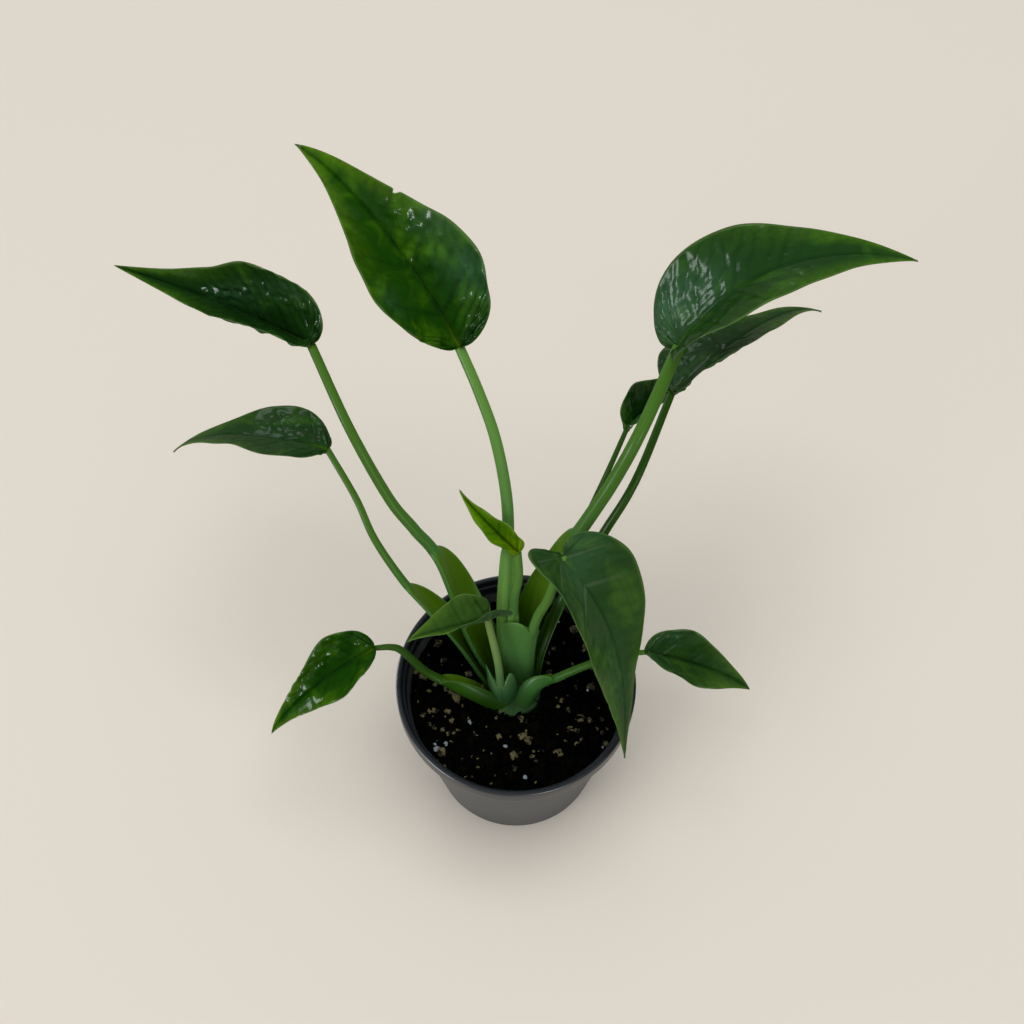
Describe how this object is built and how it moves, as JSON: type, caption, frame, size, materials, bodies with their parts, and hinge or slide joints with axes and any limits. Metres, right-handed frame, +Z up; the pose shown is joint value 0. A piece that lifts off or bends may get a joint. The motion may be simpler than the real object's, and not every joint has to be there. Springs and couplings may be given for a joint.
{
  "type": "potted alocasia plant",
  "caption": "Potted house plant with long-stemmed, cupped, pointed leaves that fan out from a short rhizome in a soil-filled nursery pot with drainage holes.",
  "frame": {"origin": "centre of the pot's underside", "axes": "+Z up along the pot's axis, -Y towards the side that the picture is taken from, +X to its right"},
  "size_m": [0.3197, 0.2225, 0.2698],
  "materials": {
    "pot": "satin",
    "soil": "matte",
    "rhizome": "matte",
    "petiole": "satin",
    "blade_bright": "gloss",
    "blade_deep": "gloss",
    "blade_young": "satin"
  },
  "bodies": {
    "root": {"pot": "pot", "soil": "soil", "rhizome": "rhizome", "petiole_young": "petiole", "petiole_back": "petiole", "petiole_upper_right": "petiole", "petiole_front_large": "petiole", "petiole_upper_left": "petiole", "petiole_lower_left": "petiole", "petiole_middle_right": "petiole", "petiole_small_rear": "petiole", "petiole_cupped_centre": "petiole", "petiole_front_left": "petiole", "petiole_front_right": "petiole", "blade_young": "blade_young", "blade_back": "blade_bright", "blade_upper_right": "blade_deep", "blade_front_large": "blade_deep", "blade_upper_left": "blade_bright", "blade_lower_left": "blade_deep", "blade_middle_right": "blade_deep", "blade_small_rear": "blade_deep", "blade_cupped_centre": "blade_bright", "blade_front_left": "blade_bright", "blade_front_right": "blade_deep"}
  },
  "joints": []
}
